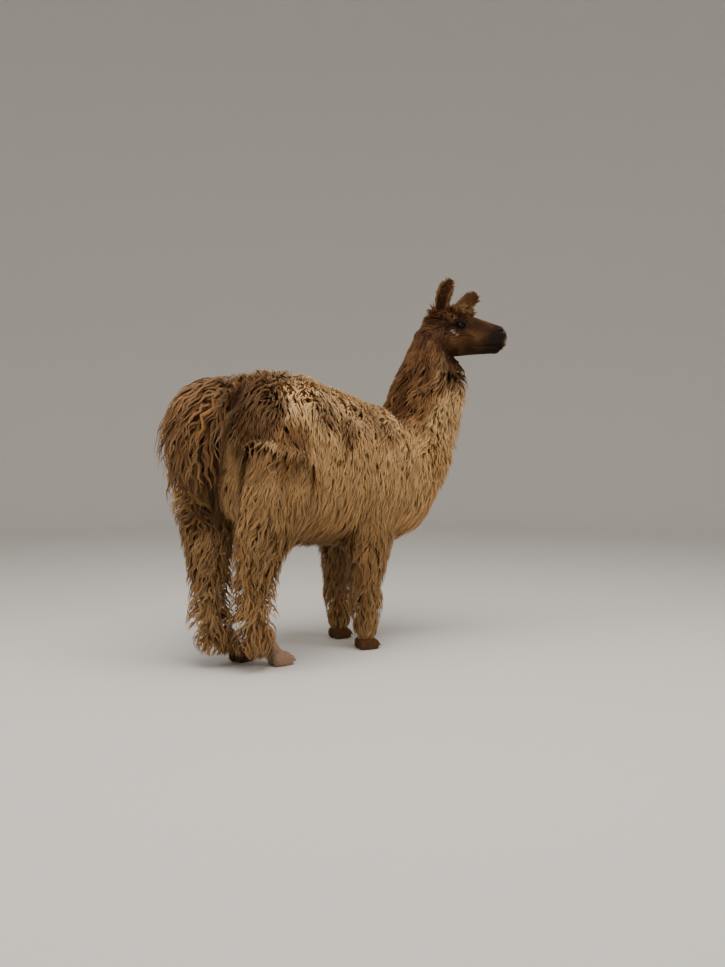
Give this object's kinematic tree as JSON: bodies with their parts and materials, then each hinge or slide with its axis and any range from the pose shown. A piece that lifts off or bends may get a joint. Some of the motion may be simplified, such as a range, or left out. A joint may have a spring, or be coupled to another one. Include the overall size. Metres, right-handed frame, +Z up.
{
  "type": "llama",
  "caption": "Life-size standing llama with long wavy fleece, head turned to its right, as a still museum-style model on flat soles.",
  "frame": {"origin": "bottom centre of the bounding box, on the floor that the soles stand on", "axes": "+X the way the body faces, +Y the animal's left, +Z up"},
  "size_m": [1.382, 0.8257, 1.6764],
  "materials": {
    "fleece_cream": "matt, wavy locks of cream and beige fleece",
    "fleece_brown": "matt, long brown locks with lighter tips",
    "fleece_ochre": "matt, crimped ochre locks",
    "face_brown": "matt, short flat dark brown hair",
    "foot_skin": "dull, thick dark skin with short hair",
    "horn": "dull, lightly ridged horn",
    "eye": "wet, glossy, nearly black"
  },
  "bodies": {
    "root": {"trunk": "fleece_cream", "neck": "fleece_cream", "head": "face_brown", "eye_right": "eye", "ear_right": "face_brown", "eye_left": "eye", "ear_left": "face_brown", "tail": "fleece_brown", "leg_fore_right": "fleece_ochre", "foot_fore_right": "foot_skin", "nail_fore_right_inner": "horn", "nail_fore_right_outer": "horn", "leg_fore_left": "fleece_ochre", "foot_fore_left": "foot_skin", "nail_fore_left_inner": "horn", "nail_fore_left_outer": "horn", "leg_hind_right": "fleece_ochre", "foot_hind_right": "foot_skin", "nail_hind_right_inner": "horn", "nail_hind_right_outer": "horn", "leg_hind_left": "fleece_ochre", "foot_hind_left": "foot_skin", "nail_hind_left_inner": "horn", "nail_hind_left_outer": "horn"}
  },
  "joints": []
}
